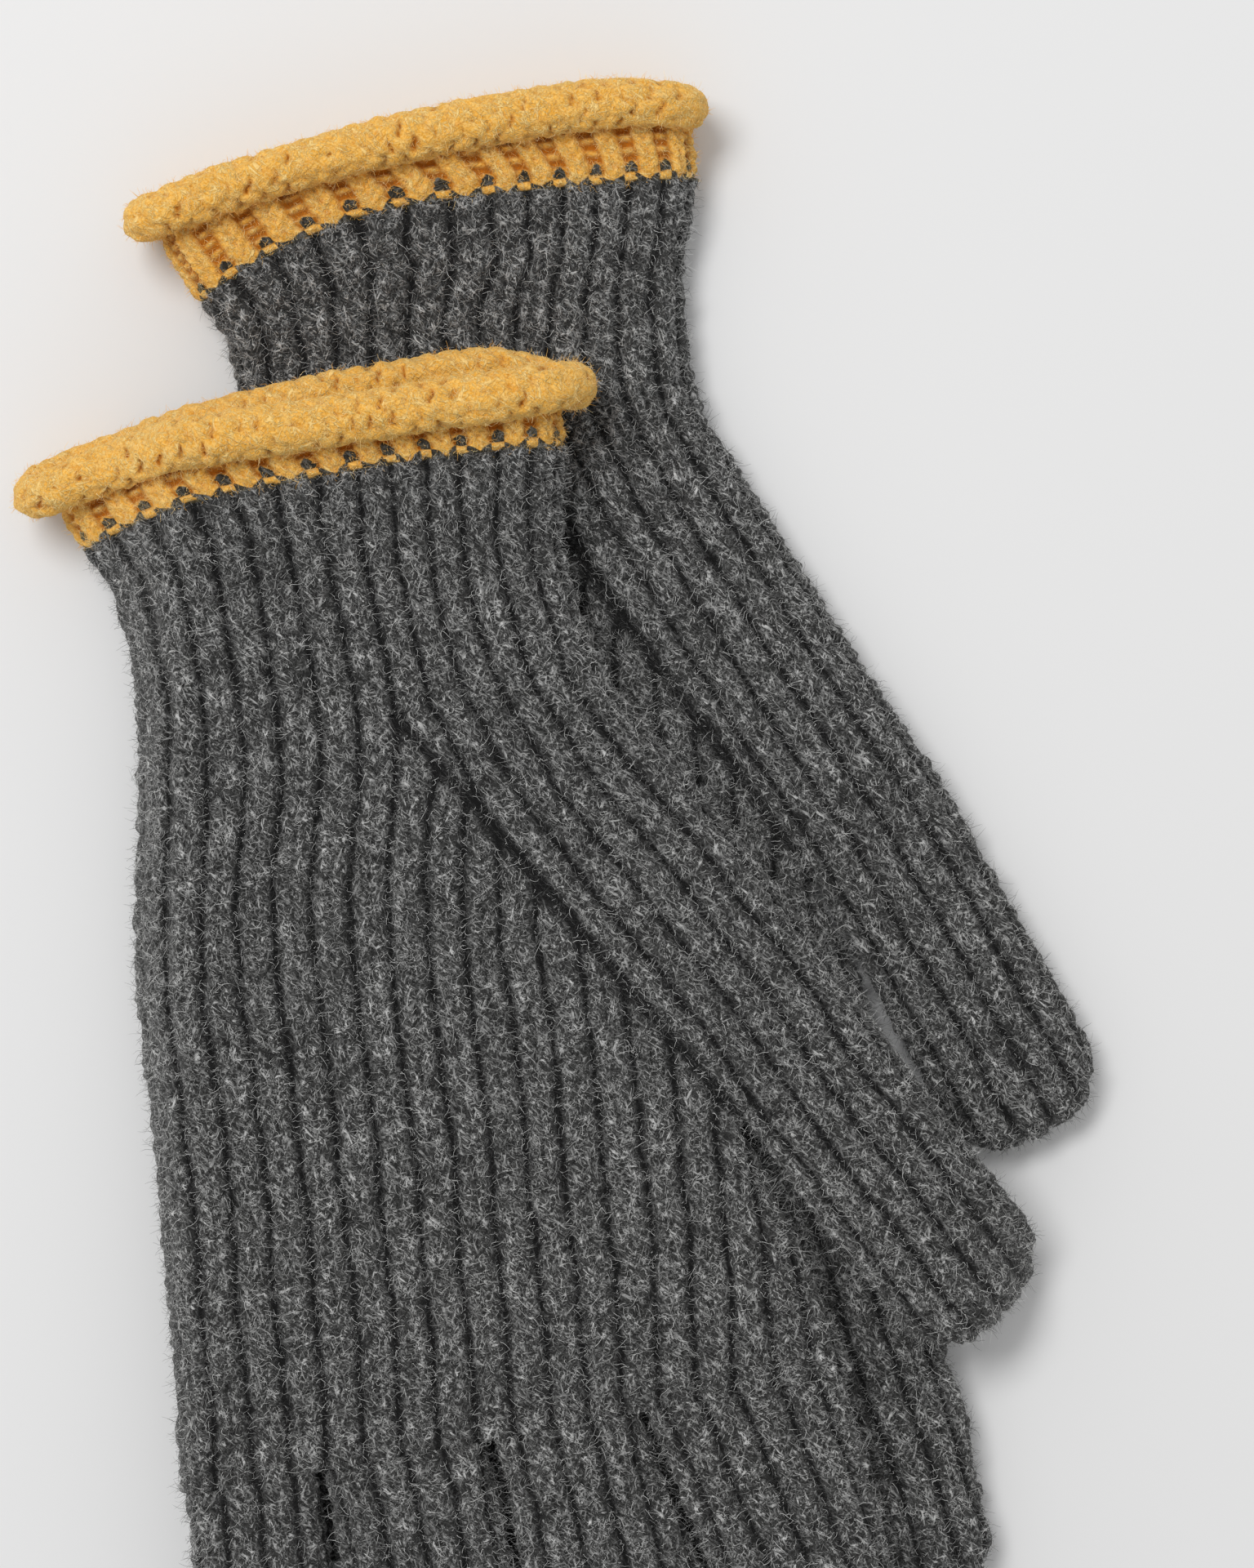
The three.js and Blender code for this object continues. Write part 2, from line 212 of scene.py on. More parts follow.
def mustard_height(rib, course, x, s, z, seed):
    """The contrast band's rib, with narrow clear columns and deep hollows."""
    rib = rib + 0.05 * noise(x, s, z, 9, seed)
    height = stitches(rib, course, 0.66, 1.9, 0.5, seed)
    lumps = noise(x, s, z, 1.0, seed + 3)
    return np.clip(height + 0.08 * lumps, 0, 1.2)


def purl_height(stitch, row, x, s, z, seed):
    """The roll's purl face: soft slanting bumps, each row half a stitch on, with a pit where
    their corners meet."""
    row = row + 0.20 * noise(x, s, z, 8, seed) + 0.14 * noise(x, s, z, 3, seed + 5)
    stitch = stitch + 0.25 * noise(x, s, z, 6, seed + 1) + 0.16 * noise(x, s, z, 2.5, seed + 6)
    number = np.floor(row)
    shifted = stitch + 0.5 * (number % 2)
    cell = np.floor(shifted)
    u = shifted - cell - 0.5
    v = row - number - 0.5 - 0.45 * u
    vary = hashed(cell, number, seed)
    bump = np.sqrt(np.clip(np.cos(np.pi * u) * np.cos(np.pi * np.clip(v, -0.5, 0.5)), 0, 1))
    side = np.where(u > 0, 1, 0)
    depth = hashed(cell + side, number, seed + 2)
    pit = np.exp(-(((0.5 - np.abs(u)) / 0.17) ** 2) - ((v - 0.1) / 0.33) ** 2)
    lumps = 0.6 * noise(x, s, z, 1.6, seed + 3) + 0.4 * noise(x, s, z, 0.9, seed + 4)
    height = 0.52 + 0.38 * bump * (0.5 + 0.5 * vary) - 0.70 * depth**1.3 * pit
    return np.clip(height + 0.20 * lumps, 0, 1.2)


# ---- Surfaces --------------------------------------------------------------------------------
class Rows:
    """Cross-sections of a flattened tube. Row by row: the section's two edges as points (x, s),
    its height, how rounded the fold at each edge is (0 open, 1 a full half round), how far it
    has closed at a tip, and its place along the knit."""

    def __init__(self, start, end, height, fold0, fold1, **extra):
        count = len(start)
        full = lambda v: np.broadcast_to(np.asarray(v, float), (count,))[:, None]
        self.start = np.asarray(start, float)
        self.end = np.asarray(end, float)
        self.height = full(height)
        self.fold0 = full(fold0)
        self.fold1 = full(fold1)
        self.flatten = full(extra.get("flatten", 1.0))
        self.tilt = full(extra.get("tilt", 0.0))
        self.heading = extra.get("heading", (0.0, 1.0))
        self.middle = full(extra.get("middle", np.asarray(height) / 2))

    def pick(self, rows):
        """Some of the rows."""
        other = object.__new__(Rows)
        for name, value in self.__dict__.items():
            other.__dict__[name] = value[rows] if isinstance(value, np.ndarray) else value
        return other

    def labels(self, part):
        """Distance across the fabric, measured so that it is the distance from the first edge
        wherever the section is flat."""
        quarter = math.pi / 4 * self.height
        width = np.linalg.norm(self.end - self.start, axis=1)[:, None]
        q0 = quarter * self.fold0
        q1 = quarter * self.fold1
        flat = width - self.height / 2 * (self.fold0 + self.fold1)
        arc = part * (q0 + q1 + flat)
        return arc, arc - q0 + self.height / 2 * self.fold0, width, q0, q1, q0 + q1 + flat

    def points(self, part, side, inset):
        """x, s, z of the surface at part, 0 to 1, of the way across, on the upper layer where
        side is 1 and the lower one where it is -1, inset by so much."""
        arc, label, width, q0, q1, total = self.labels(part)
        radius = self.height / 2
        turn0 = np.clip(arc / np.maximum(q0, 1e-6), 0, 1) * (math.pi / 2)
        turn1 = np.clip((total - arc) / np.maximum(q1, 1e-6), 0, 1) * (math.pi / 2)
        turn0 = np.where(self.fold0 > 0, turn0, math.pi / 2)
        turn1 = np.where(self.fold1 > 0, turn1, math.pi / 2)
        out0, out1 = np.cos(turn0), np.cos(turn1)
        shift = (np.clip(label, radius * self.fold0, width - radius * self.fold1)
                 - radius * self.fold0 * out0 + radius * self.fold1 * out1)
        up = np.sin(turn0) * np.sin(turn1)
        lean = np.cos(self.tilt)
        shift = shift - inset * lean * (out1 - out0)
        direction = (self.end - self.start) / width
        xs = [self.start[:, k:k + 1] + direction[:, k:k + 1] * shift
              - self.heading[k] * inset * np.sin(self.tilt) for k in (0, 1)]
        z = self.middle + side * up * (radius * self.flatten - inset * lean)
        return xs[0], xs[1], z


class Shell:
    """Collects an outside and a coarser inside and joins them into one closed mesh."""

    def __init__(self):
        self.points = []
        self.cavity = []
        self.contrast = []
        self.faces = []
        self.count = 0

    def add(self, points, cavity=None, contrast=None):
        points = points.reshape(-1, 3)
        first = self.count
        self.points.append(points)
        self.cavity.append(np.zeros(len(points)) if cavity is None else cavity.reshape(-1))
        self.contrast.append(np.zeros(len(points)) if contrast is None else contrast.reshape(-1))
        self.count += len(points)
        return first + np.arange(len(points))

    def quads(self, grid):
        """Faces over a grid of point numbers."""
        corners = np.stack([grid[:-1, :-1], grid[:-1, 1:], grid[1:, 1:], grid[1:, :-1]], axis=-1)
        self.faces.append(corners.reshape(-1, 4))

    def fan(self, ring, hub):
        """Closes a ring of points with triangles to a hub."""
        self.faces.append(np.stack([ring[:-1], ring[1:], np.full(len(ring) - 1, hub)], axis=-1))

    def rim(self, outer, inner, loop):
        """Joins outside to inside along a loop of coarse grid places."""
        for (r0, c0), (r1, c1) in zip(loop[:-1], loop[1:]):
            step = (r1 - r0, c1 - c0)
            chain = [outer[r0 * COARSE + step[0] * m, c0 * COARSE + step[1] * m]
                     for m in range(COARSE + 1)]
            if chain[0] == chain[-1]:
                continue
            self.faces.append(np.array([chain + [inner[r1, c1], inner[r0, c0]]]))

    def build(self, name):
        """A mesh object, its faces turned outwards, with its rest shape kept for its textures."""
        points = np.concatenate(self.points)
        sizes = np.concatenate([np.full(len(f), f.shape[1]) for f in self.faces])
        corners = np.concatenate([f.reshape(-1) for f in self.faces])
        mesh = bpy.data.meshes.new(name)
        mesh.vertices.add(len(points))
        mesh.vertices.foreach_set("co", points.reshape(-1) * MM)
        mesh.loops.add(len(corners))
        mesh.loops.foreach_set("vertex_index", corners.astype(np.int32))
        mesh.polygons.add(len(sizes))
        starts = np.concatenate([[0], np.cumsum(sizes)[:-1]])
        mesh.polygons.foreach_set("loop_start", starts.astype(np.int32))
        rest = mesh.attributes.new("rest", "FLOAT_VECTOR", "POINT")
        rest.data.foreach_set("vector", points.reshape(-1))
        for label, values in (("cavity", self.cavity), ("contrast", self.contrast)):
            layer = mesh.attributes.new(label, "FLOAT", "POINT")
            layer.data.foreach_set("value", np.concatenate(values))
        mesh.update(calc_edges=True)
        work = bmesh.new()
        work.from_mesh(mesh)
        loose = [v for v in work.verts if not v.link_faces]
        bmesh.ops.delete(work, geom=loose, context="VERTS")
        bmesh.ops.recalc_face_normals(work, faces=work.faces)
        work.to_mesh(mesh)
        work.free()
        mesh.polygons.foreach_set("use_smooth", np.ones(len(mesh.polygons), bool))
        mesh.update()
        piece = bpy.data.objects.new(name, mesh)
        bpy.context.scene.collection.objects.link(piece)
        return piece


def rounded(count):
    """The next whole multiple of COARSE."""
    return max(COARSE, COARSE * math.ceil(count / COARSE))


class Glove:
    """One glove: its place on the table and the pieces made from it."""

    def __init__(self, side, origin):
        self.side = side
        self.thumb_angle = SIDES[side]["thumb_angle"]
        self.thumb_length = SIDES[side]["thumb_length"]
        self.thumb_side = SIDES[side]["thumb"]
        self.little_side = SIDES[side]["little"]
        self.bulge = RIGHT_INDEX_BULGE if side == "right" else 0.0
        self.seed = 100 if side == "left" else 500
        self.origin = np.array(origin)
        self.turn = RIGHT_PLACE[2] if side == "right" else 0.0
        self.pieces = {}

    def place(self, x, s, z):
        """Glove axes to the frame, in millimetres, with the left glove draped over the right."""
        cos, sin = math.cos(self.turn), math.sin(self.turn)
        swell = 0.9 * noise(x, s, 0 * x, 33, self.seed + 9) * np.clip(z / FLAT_HEIGHT, 0, 1)
        z = np.maximum(z + np.where(swell < 0, swell, swell * 0.5), 0.02)
        if self.side == "left":
            z = z + lift_at(x, -s)
        px = self.origin[0] + x * cos + s * sin
        py = self.origin[1] + x * sin - s * cos
        return np.stack([px, py, z], axis=-1)

    def surface(self, shell, rows, part, side, knit, warp=None):
        """Adds one skin: outside, displaced by the knit, or inside where knit is None. warp
        gives a point's place along the glove where the rows themselves are not straight."""
        if knit is None:
            x, s, z = rows.points(part, side, FABRIC)
            s = warp(x, z) if warp else s
            return shell.add(self.place(x, s, z))
        x, s, z = rows.points(part, side, 0.0)
        s = warp(x, z) if warp else s
        label, width = rows.labels(part)[1:3]
        height, contrast = knit(label, width, x, s, z)
        x, plain_s, z = rows.points(part, side, RELIEF * (1 - height) - PROUD)
        s = s if warp else plain_s
        return shell.add(self.place(x, s, z), height, contrast)

    def tube(self, name, rows, columns, knit, warp):
        """A closed sleeve, open at both ends."""
        shell = Shell()
        count = len(rows.start) - 1
        outer = join_ring(self.surface(shell, rows, *ring_columns(columns), knit, warp)
                          .reshape(count + 1, -1))
        coarse = rows.pick(slice(None, None, COARSE))
        inner = join_ring(self.surface(shell, coarse, *ring_columns(columns // COARSE), None,
                                       warp.coarse()).reshape(count // COARSE + 1, -1))
        shell.quads(outer)
        shell.quads(inner)
        last = count // COARSE
        for r in (0, last):
            shell.rim(outer, inner, [(r, c) for c in range(2 * columns // COARSE + 1)])
        self.pieces[name] = shell.build(f"{self.side}_{name}_knit")

    def digit(self, name, rows, base_rows, columns, knit):
        """A sleeve closed at its tip."""
        shell = Shell()
        outer = join_ring(self.surface(shell, rows, *ring_columns(columns), knit)
                          .reshape(len(rows.start), -1))
        chosen = [*range(0, base_rows + 1, COARSE),
                  *range(base_rows + 2, len(rows.start) - 1, 2)]
        coarse = rows.pick(chosen)
        inner = join_ring(self.surface(shell, coarse, *ring_columns(columns // COARSE), None)
                          .reshape(len(chosen), -1))
        shell.quads(outer)
        shell.quads(inner)
        shell.rim(outer, inner, [(0, c) for c in range(2 * columns // COARSE + 1)])
        for grid in (outer, inner):
            ring = grid[-1]
            middle = np.concatenate(shell.points)[ring[:-1]].mean(axis=0)
            hub = shell.add(middle[None, :], np.array([0.8]))[0]
            shell.fan(ring, hub)
        self.pieces[name] = shell.build(f"{self.side}_{name}_knit")


def lift_at(x, y):
    """How high the right glove lifts the left one at a point."""
    turn = RIGHT_PLACE[2]
    dx, dy = x - RIGHT_PLACE[0], y - RIGHT_PLACE[1]
    across = dx * math.cos(turn) + dy * math.sin(turn)
    s = dx * math.sin(turn) - dy * math.cos(turn)
    x0, s0, slope0 = UNDER_LITTLE_SIDE
    x1, s1, slope1 = UNDER_INDEX_SIDE
    past_hand = np.maximum(np.maximum(x0 - slope0 * (s - s0) - across,
                                      across - x1 - slope1 * (s - s1)),
                           s - HAND_END - FINGERS["middle_finger"][2])
    thumb = SIDES["right"]
    sin, cos = math.sin(thumb["thumb_angle"]), math.cos(thumb["thumb_angle"])
    fx, fs = across - CROTCH[0], s - CROTCH[1]
    thumbwards = fx * sin + fs * cos
    outwards = fx * cos - fs * sin
    past_thumb = np.maximum(np.maximum(-outwards, outwards - THUMB_WIDTH),
                            thumbwards - thumb["thumb_length"])
    past = np.minimum(past_hand, past_thumb)
    return (FLAT_HEIGHT + LAYER_GAP) * (1 - smoothstep(past, DRAPE_CLEAR, DRAPE_RUN))


def height_at(s):
    return lerp(MOUTH_HEIGHT, FLAT_HEIGHT, smoothstep(s, 0, MOUTH_RUN))


def ring_columns(count):
    """part and side of each point round a closed section, the first repeated at the end."""
    half = np.linspace(0, 1, count + 1)
    part = np.concatenate([half, half[::-1][1:]])
    side = np.where(np.arange(2 * count + 1) <= count, 1.0, -1.0)
    return part[None, :], side[None, :]


def join_ring(grid):
    """Makes the last column of a closed grid the same points as its first."""
    grid = grid.copy()
    grid[:, -1] = grid[:, 0]
    return grid


class Warp:
    """Bends the rows of a sleeve so that they run between two lines across the glove."""

    def __init__(self, start, end, at):
        self.start, self.end, self.at = start, end, at

    def __call__(self, x, z):
        return lerp(self.start(x, z), self.end(x, z), self.at)

    def coarse(self):
        return Warp(self.start, self.end, self.at[::COARSE])


def roll_line(glove):
    """Distance along the glove of the roll's centre, on the upper and on the lower layer."""
    if glove.side == "left":
        return (lambda x: -2.2 + 0.033 * (x + 20) + 0.007 * np.maximum(-20 - x, 0) ** 2,
                lambda x: (-6.2 + 0.0012 * (x - 12) ** 2
                           + 0.014 * np.maximum(x - 25, 0) ** 2))
    upper = lambda x: -5.0 + 0.00175 * (x - 30) ** 2 + 0.008 * np.maximum(x - 28, 0) ** 2
    return (upper, lambda x: upper(x) - 1.5)


def tip_line(glove):
    """Where the points of the contrast yarn's columns end."""
    if glove.side == "left":
        return lambda x: (6.5 + 0.0018 * np.maximum(x - 5, 0) ** 2
                          + 0.0045 * np.maximum(-12 - x, 0) ** 2)
    return lambda x: 6.9 + 0.0068 * np.maximum(2 - x, 0) ** 2 + 0.03 * np.maximum(x - 16, 0)


def rib_number(glove, label, width, s):
    """Rib number on the wrist: 8 ribs up to the seam's line, and 6 beyond it."""
    fold = FOLD_SHARE * height_at(s)
    seam = GUSSET_START[0] - along(glove.little_side, s) + fold
    arc = label + fold
    total = width + 2 * fold
    return np.where(arc < seam, 0.5 + (SEAM_RIB - 0.5) * arc / seam,
                    SEAM_RIB + (EDGE_RIB - SEAM_RIB) * (arc - seam) / (total - seam))


def knit_band(glove):
    tips = tip_line(glove)

    def knit(label, width, x, s, z):
        rib = rib_number(glove, label, width, s)
        course = (s - tips(x)) / BAND_COURSE
        off = np.abs(2 * (rib - np.floor(rib)) - 1)
        before = tips(x) - s  # distance still to go to the points
        before = before + 0.35 * noise(x, s, z, 1.3, glove.seed + 7)
        off = off + 0.08 * noise(x, s, z, 1.1, glove.seed + 8)
        column = np.clip((before - 1.9 * off) / 0.5 + 0.5, 0, 1)
        hollow = np.clip((before - 3.2 + 0.8 * (1 - off) / 0.32) / 0.5 + 0.5, 0, 1)
        bar = np.clip((0.62 - np.abs(before - 0.6)) / 0.4 + 0.5, 0, 1)
        contrast = np.where(off < 0.68, column, np.maximum(hollow, bar))
        mustard = mustard_height(rib, course, x, s, z, glove.seed)
        mustard = np.where(off < 0.68, mustard, mustard + 0.25 * bar)
        charcoal = charcoal_height(rib, s / COURSE, x, s, z, glove.seed)
        charcoal = np.where(before > 0, 0.38 + charcoal * 0.2, charcoal)
        return lerp(charcoal, mustard, contrast), contrast

    return knit


def knit_wrist(glove):
    def knit(label, width, x, s, z):
        rib = rib_number(glove, label, width, s)
        height = charcoal_height(rib, s / COURSE, x, s, z, glove.seed)
        return height, 0 * height

    return knit


def make_cuff(glove):
    """The contrast band, which starts inside the roll, and the wrist."""
    upper, lower = roll_line(glove)
    tips = tip_line(glove)
    past_roll_centre = 1.5

    def start(x, z):
        t = np.clip(z / MOUTH_HEIGHT, 0, 1)
        return lerp(lower(x), upper(x), t) + past_roll_centre

    def join(x, z):
        return tips(x) + 0.3

    def end(x, z):
        return HAND_START + 0 * x

    def sleeve(name, first, last, nominal, grain, size, knit):
        """A sleeve between two lines, whose edges keep to the glove's outline wherever the
        lines take them. size is about its greatest length and width."""
        t = np.linspace(0, 1, rounded(size[0] / grain) + 1)
        sides = []
        for side, x in ((glove.little_side, -40.0), (glove.thumb_side, 40.0)):
            middle = MOUTH_HEIGHT / 2
            at = lerp(first(x, middle), last(x, middle), t)
            sides.append(np.stack([along(side, at), lerp(*nominal, t)], axis=1))
        rows = Rows(*sides, height_at(sides[0][:, 1]), 1.0, 1.0)
        glove.tube(name, rows, rounded(size[1] / grain), knit, Warp(first, last, t[:, None]))

    sleeve("contrast_band", start, join, BAND_ROWS, FINE_GRAIN, (14, 88), knit_band(glove))
    sleeve("wrist", join, end, (BAND_ROWS[1], HAND_START), GRAIN, (38, 83), knit_wrist(glove))


def make_roll(glove):
    """The mouth's rolled edge: a round section carried round a flattened loop."""
    upper, lower = roll_line(glove)
    bend = (ROLL_TOP_Z - ROLL_RADIUS) / 2
    straight = 2 * (ROLL_HALF_WIDTH - ROLL_RADIUS - bend)
    turn = math.pi * bend
    length = 2 * (straight + turn)
    stitches_round = 2 * round(length / ROLL_STITCH / 2)
    steps = round(length / FINE_GRAIN)
    around = 66
    at = (np.arange(steps) / steps * length)[:, None]
    # The loop is two equal legs, each a straight and the half turn at its end.
    leg = np.floor(at / (straight + turn))
    local = at - leg * (straight + turn)
    sign = 1 - 2 * leg
    angle = np.clip((local - straight) / bend, 0, math.pi)
    x = sign * (-straight / 2 + np.minimum(local, straight) + bend * np.sin(angle)) + ROLL_SHIFT
    z = sign * bend * np.cos(angle)
    out_x, out_z = sign * np.sin(angle), sign * np.cos(angle)
    theta = (np.arange(around) / around * 2 * math.pi)[None, :]
    centre = lerp(lower(x), upper(x), (z / bend + 1) / 2)
    taper = 1 - 0.16 * smoothstep(np.abs(x - ROLL_SHIFT), 30, ROLL_HALF_WIDTH)
    height = purl_height(at / length * stitches_round, theta / (2 * math.pi) * ROLL_ROWS,
                         x + 0 * theta, centre + 4 * np.sin(theta), z + 4 * np.cos(theta),
                         glove.seed)
    lean = 1 + 0.05 * noise(x, centre, z, 13, glove.seed + 5)
    radius = (ROLL_RADIUS + ROLL_PROUD - ROLL_RELIEF * (1 - height)) * taper * lean
    away = radius * np.cos(theta)
    points = glove.place(x + away * out_x, centre + radius * np.sin(theta),
                         np.maximum(ROLL_RADIUS + bend + z + away * out_z, 0.05))
    shell = Shell()
    grid = shell.add(points, height, np.ones_like(height)).reshape(steps, around)
    grid = np.concatenate([grid, grid[:1]], axis=0)
    grid = np.concatenate([grid, grid[:, :1]], axis=1)
    shell.quads(grid)
    glove.pieces["rolled_edge"] = shell.build(f"{glove.side}_rolled_edge_knit")


def palm_rib(label, s):
    """Rib number on the palm and the fingers, counted from the little finger's side."""
    pitch = lerp(PALM_START_PITCH, RIB_PITCH, smoothstep(s, HAND_START, 80))
    return 0.5 + (label + FOLD) / pitch


def seam_depth(distance):
    """The seam between palm and gusset draws the ribs down into a groove."""
    return smoothstep(distance, -0.4, 2.4)


def make_palm(glove):
    """The palm: open along the gusset's seam as far as the crotch, closed beyond it."""
    first = rounded((CROTCH[1] - HAND_START) / GRAIN)
    second = rounded((KNUCKLES - CROTCH[1]) / GRAIN)
    s = np.concatenate([np.linspace(HAND_START, CROTCH[1], first + 1),
                        np.linspace(CROTCH[1], KNUCKLES, second + 1)[1:]])
    seam = ((HAND_START, GUSSET_START[0]), CROTCH[::-1])
    index_side = along(INDEX_SIDE, s) + glove.bulge * smoothstep(s, CROTCH[1], CROTCH[1] + 20)
    right = np.where(s <= CROTCH[1], along(seam, s), index_side)
    starts = np.stack([along(glove.little_side, s), s], axis=1)
    ends = np.stack([right, s], axis=1)
    fold1 = np.where(np.arange(len(s)) < first, 0.0,
                     lerp(0.2, 1.0, smoothstep(s, CROTCH[1], CROTCH[1] + 9)))
    rows = Rows(starts, ends, FLAT_HEIGHT, 1.0, fold1)

    def knit(label, width, x, s, z):
        rib = palm_rib(label, s)
        height = charcoal_height(rib, s / COURSE, x, s, z, glove.seed)
        beside = np.where(s < CROTCH[1], width - label, 9.0)
        return height * seam_depth(beside * 0.87), 0 * height

    half = rounded(105 / GRAIN)
    across = np.linspace(0, 1, half + 1)
    part = np.concatenate([np.linspace(1, 0, half + 1), across[1:]])[None, :]
    side = ring_columns(half)[1]
    shell = Shell()
    outer = glove.surface(shell, rows, part, side, knit).reshape(len(s), -1)
    coarse = rows.pick(slice(None, None, COARSE))
    inner = glove.surface(shell, coarse, part[:, ::COARSE], side[:, ::COARSE], None)
    inner = inner.reshape(-1, 2 * half // COARSE + 1)
    shut = first // COARSE
    outer[first:, -1] = outer[first:, 0]
    inner[shut:, -1] = inner[shut:, 0]
    shell.quads(outer)
    shell.quads(inner)
    last = 2 * half // COARSE
    opening = [(0, c) for c in range(last + 1)] + [(r, last) for r in range(1, shut + 1)]
    shell.rim(outer, inner, opening)
    shell.rim(outer, inner, [(r, 0) for r in range(shut, -1, -1)])
    end = (len(s) - 1) // COARSE
    shell.rim(outer, inner, [(end, c) for c in range(last + 1)])
    glove.pieces["palm"] = shell.build(f"{glove.side}_palm_knit")


def thumb_place(glove, across, t):
    """A point of the thumb, which leaves the crotch at an angle, in glove axes."""
    sin, cos = math.sin(glove.thumb_angle), math.cos(glove.thumb_angle)
    return (CROTCH[0] + across * cos + t * sin, CROTCH[1] - across * sin + t * cos)


def make_gusset(glove):
    """The gusset: from the wrist to the thumb's base, open along its seam with the palm."""
    base = thumb_place(glove, THUMB_WIDTH, 0)
    count = rounded(GUSSET_RUN / GRAIN)
    v = np.linspace(0, 1, count + 1)
    starts = np.stack([lerp(GUSSET_START[0], CROTCH[0], v), lerp(HAND_START, CROTCH[1], v)],
                      axis=1)
    outer_s = lerp(HAND_START, base[1], v)
    outer_x = along(glove.thumb_side, outer_s)
    outer_x = outer_x + (base[0] - outer_x[-1]) * v**4
    ends = np.stack([outer_x, outer_s], axis=1)
    rows = Rows(starts, ends, FLAT_HEIGHT, 0.0, 1.0)
    progress = v[:, None]

    def knit(label, width, x, s, z):
        at = progress if len(label) == len(progress) else progress[::COARSE]
        slant = glove.thumb_angle * (1 - at)
        pitch = lerp(GUSSET_START_PITCH, THUMB_PITCH / np.cos(slant), smoothstep(at, 0, 0.3))
        rib = EDGE_RIB - (width - label + FOLD) / pitch
        course = (HAND_START + GUSSET_RUN * at) / COURSE + 0 * label
        height = charcoal_height(rib, course, x, s, z, glove.seed)
        return height * seam_depth(label * 0.95), 0 * height

    half = rounded(38 / GRAIN)
    part, side = ring_columns(half)
    shell = Shell()
    outer = glove.surface(shell, rows, part, side, knit).reshape(count + 1, -1)
    coarse = rows.pick(slice(None, None, COARSE))
    inner = glove.surface(shell, coarse, part[:, ::COARSE], side[:, ::COARSE], None)
    inner = inner.reshape(count // COARSE + 1, -1)
    shell.quads(outer)
    shell.quads(inner)
    last = 2 * half // COARSE
    end = count // COARSE
    shell.rim(outer, inner, [(0, c) for c in range(last + 1)])
    shell.rim(outer, inner, [(r, last) for r in range(end + 1)])
    shell.rim(outer, inner, [(end, c) for c in range(last, -1, -1)])
    shell.rim(outer, inner, [(r, 0) for r in range(end, -1, -1)])
    glove.pieces["thumb_gusset"] = shell.build(f"{glove.side}_thumb_gusset_knit")


def digit_rows(edge, width, length, fold0, fold1, heading):
    """Rows of a digit. edge(t) gives its two edges at t from its base; fold0 and fold1 are how
    rounded each edge starts out at the base."""
    reach = TIP_ROUND * width
    straight = rounded((length - reach) / GRAIN)
    base = np.linspace(0, length - reach, straight + 1)
    angles = np.linspace(0, math.pi / 2, 15)[1:]
    closing = np.linspace(0, 1, 8)[1:-1]
    t = np.concatenate([base, length - reach + reach * np.sin(angles),
                        length + 0.25 * np.sin(closing * math.pi / 2)])
    none = np.zeros(straight + 1)
    narrowing = np.concatenate([none, reach * (1 - np.cos(angles)),
                                reach + closing * (width / 2 - reach - 0.35)])
    flatten = np.concatenate([none + 1,
                              lerp(1, TIP_HEIGHT, (1 - np.cos(angles)) ** TIP_BLUNTNESS),
                              TIP_HEIGHT * (1 - closing**2 * 0.8)])
    tilt = np.concatenate([none, angles * 0.9, np.full(len(closing), math.pi / 2 * 0.9)])
    starts, ends = edge(t, narrowing)
    grow = smoothstep(t, 0, 9)
    room = np.linalg.norm(ends - starts, axis=1) / FLAT_HEIGHT
    rows = Rows(starts, ends, FLAT_HEIGHT, np.minimum(lerp(fold0, 1, grow), room * 0.98),
                np.minimum(lerp(fold1, 1, grow), room * 0.98),
                flatten=flatten, tilt=tilt, heading=heading)
    return rows, straight, t


def make_thumb(glove):
    def edge(t, narrowing):
        return (np.stack(thumb_place(glove, narrowing, t), axis=1),
                np.stack(thumb_place(glove, THUMB_WIDTH - narrowing, t), axis=1))

    heading = (math.sin(glove.thumb_angle), math.cos(glove.thumb_angle))
    rows, straight, t = digit_rows(edge, THUMB_WIDTH, glove.thumb_length, 0.2, 1.0, heading)
    inner_edge = np.stack(thumb_place(glove, 0 * t, t), axis=1)
    narrowing = np.linalg.norm(rows.start - inner_edge, axis=1)

    def knit(label, width, x, s, z):
        inset = narrowing[:, None]
        rib = EDGE_RIB - (width - label + inset + FOLD) / THUMB_PITCH
        course = (HAND_START + GUSSET_RUN + t[:, None]) / COURSE + 0 * label
        height = charcoal_height(rib, course, x, s, z, glove.seed)
        return height, 0 * height

    glove.digit("thumb", rows, straight, rounded(33 / GRAIN), knit)


